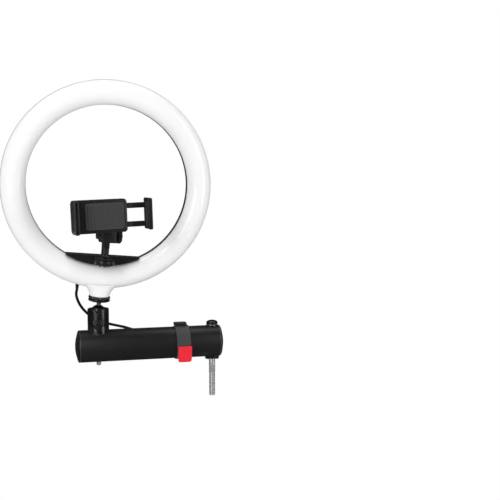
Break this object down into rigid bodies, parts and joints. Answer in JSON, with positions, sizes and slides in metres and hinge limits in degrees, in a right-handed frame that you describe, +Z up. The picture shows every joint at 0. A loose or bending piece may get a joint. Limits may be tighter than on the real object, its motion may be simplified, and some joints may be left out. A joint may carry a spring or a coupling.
{
  "type": "ring light",
  "caption": "Ring-shaped video light with a phone clamp inside it, on a lockable ball head at the end of a short round boom that swings on a vertical bolt.",
  "frame": {"origin": "on the swivel bolt's axis, where the boom's foot washer rests on the arm that carries it", "axes": "+Z up along the swivel bolt; the boom runs towards -X; the ring's lit face looks towards -Y"},
  "size_m": [0.2724, 0.137, 0.397],
  "materials": {
    "housing_black": "fine moulded texture",
    "milky_diffuser": "glossy milky white",
    "white_plastic": "smooth satin",
    "board_white": "white solder mask",
    "chip_yellow": "phosphor",
    "key_grey": "smooth satin",
    "switch_metal": "plated",
    "screw_steel": "plated",
    "brass_insert": "turned",
    "cable_rubber": "satin jacket",
    "lead_red": "smooth insulation",
    "holder_black": "satin",
    "pad_rubber": "ribbed",
    "stem_steel": "polished",
    "head_black": "black anodised, satin",
    "cup_nylon": "smooth",
    "tube_black": "satin black powder coat",
    "cap_black": "satin black",
    "bolt_steel": "zinc plated",
    "strap_grey": "woven hook and loop",
    "strap_red": "woven",
    "buckle_black": "moulded",
    "plug_black": "moulded",
    "plug_metal": "nickel plated",
    "tongue_white": "smooth"
  },
  "bodies": {
    "arm_mount": {"swivel_bolt": "bolt_steel", "lower_washer": "bolt_steel", "upper_washer": "bolt_steel", "bolt_cap": "cap_black"},
    "boom": {"boom_tube": "tube_black", "left_cap": "cap_black", "right_plug": "cap_black", "lower_saddle": "cap_black", "upper_saddle": "cap_black", "base_collar": "head_black", "base_bolt": "bolt_steel", "base_nut": "screw_steel", "ball_housing": "head_black", "pressure_plug": "brass_insert", "strap_band": "strap_grey", "strap_buckle": "buckle_black", "strap_tab": "strap_red", "cable_span": "cable_rubber", "cable_run": "cable_rubber", "cable_hank": "cable_rubber", "cable_tail": "cable_rubber", "plug_relief": "plug_black", "plug_grip": "plug_black", "plug_shell": "plug_metal", "plug_tongue": "tongue_white"},
    "lever": {"lock_lever": "head_black", "lever_screw": "screw_steel"},
    "cup": {"ball_cup": "cup_nylon"},
    "ball": {"ball": "head_black", "ball_stem": "stem_steel"},
    "wheel": {"lock_wheel": "head_black"},
    "ring": {"rear_housing": "housing_black", "diffuser": "milky_diffuser", "led_board": "board_white", "led_chips": "chip_yellow", "tact_switches": "switch_metal", "housing_screws": "screw_steel", "mount_boss": "white_plastic", "boss_insert": "brass_insert", "cable_gland": "cable_rubber", "inner_leads": "lead_red", "holder_bracket": "holder_black", "bracket_screws": "screw_steel"},
    "power": {"power_button": "key_grey"},
    "brighter": {"brighter_button": "key_grey"},
    "dimmer": {"dimmer_button": "key_grey"},
    "post": {"holder_post": "holder_black", "post_nut": "screw_steel"},
    "tilt": {"tilt_arm": "holder_black", "tilt_nut": "screw_steel"},
    "knob": {"tilt_screw": "holder_black"},
    "clamp": {"clamp_body": "holder_black", "clamp_pivot": "screw_steel", "back_pad": "pad_rubber", "fixed_jaw_pad": "pad_rubber", "clamp_springs": "screw_steel"},
    "jaw": {"sliding_jaw": "holder_black", "sliding_jaw_pad": "pad_rubber"}
  },
  "joints": [
    {"name": "boom_swivel", "type": "hinge", "parent": "arm_mount", "child": "boom", "pos_m": [0, 0, 0], "axis": [0, 0, 1], "range_deg": [-170, 170]},
    {"name": "lock_lever_turn", "type": "hinge", "parent": "boom", "child": "lever", "pos_m": [-0.1443, 0, 0.0532], "axis": [0.1564, 0.9877, 0], "range_deg": [-40, 60]},
    {"name": "ball_lean", "type": "hinge", "parent": "boom", "child": "cup", "pos_m": [-0.1443, 0, 0.0658], "axis": [0, 1, 0], "range_deg": [-40, 30], "deforming": ["cable_span"]},
    {"name": "ball_tilt", "type": "hinge", "parent": "cup", "child": "ball", "pos_m": [-0.1443, 0, 0.0658], "axis": [0.9965, 0, -0.0837], "range_deg": [-30, 35], "deforming": ["cable_span"]},
    {"name": "lock_wheel_turn", "type": "hinge", "parent": "ball", "child": "wheel", "pos_m": [-0.1443, 0, 0.0658], "axis": [0.0834, -0.0872, 0.9927], "range_deg": [-180, 180]},
    {"name": "ring_turn", "type": "hinge", "parent": "ball", "child": "ring", "pos_m": [-0.1443, 0, 0.0658], "axis": [0.0834, -0.0872, 0.9927], "range_deg": [-45, 45], "deforming": ["cable_span"]},
    {"name": "power_press", "type": "slide", "parent": "ring", "child": "power", "axis": [-0.0073, -0.9962, -0.0869], "range_m": [0, 0.0008], "stiffness_N_per_m": 400},
    {"name": "brighter_press", "type": "slide", "parent": "ring", "child": "brighter", "axis": [-0.0073, -0.9962, -0.0869], "range_m": [0, 0.0008], "stiffness_N_per_m": 400},
    {"name": "dimmer_press", "type": "slide", "parent": "ring", "child": "dimmer", "axis": [-0.0073, -0.9962, -0.0869], "range_m": [0, 0.0008], "stiffness_N_per_m": 400},
    {"name": "holder_swivel", "type": "hinge", "parent": "ring", "child": "post", "pos_m": [-0.13141, -0.04359, 0.21925], "axis": [0.0834, -0.0872, 0.9927], "range_deg": [-45, 45]},
    {"name": "holder_tilt", "type": "hinge", "parent": "post", "child": "tilt", "pos_m": [-0.13617, -0.03862, 0.16266], "axis": [0.9826, 0.173, -0.0673], "range_deg": [-30, 15]},
    {"name": "tilt_knob_turn", "type": "hinge", "parent": "tilt", "child": "knob", "pos_m": [-0.13617, -0.03862, 0.16266], "axis": [0.9826, 0.173, -0.0673], "range_deg": [-180, 180]},
    {"name": "clamp_turn", "type": "hinge", "parent": "tilt", "child": "clamp", "pos_m": [-0.13083, -0.05934, 0.18733], "axis": [-0.1725, 0.9849, 0.0132], "range_deg": [-90, 90]},
    {"name": "jaw_slide", "type": "slide", "parent": "clamp", "child": "jaw", "axis": [0.9844, 0.1719, 0.0373], "range_m": [-0.022, 0.006], "deforming": ["clamp_springs"]}
  ]
}
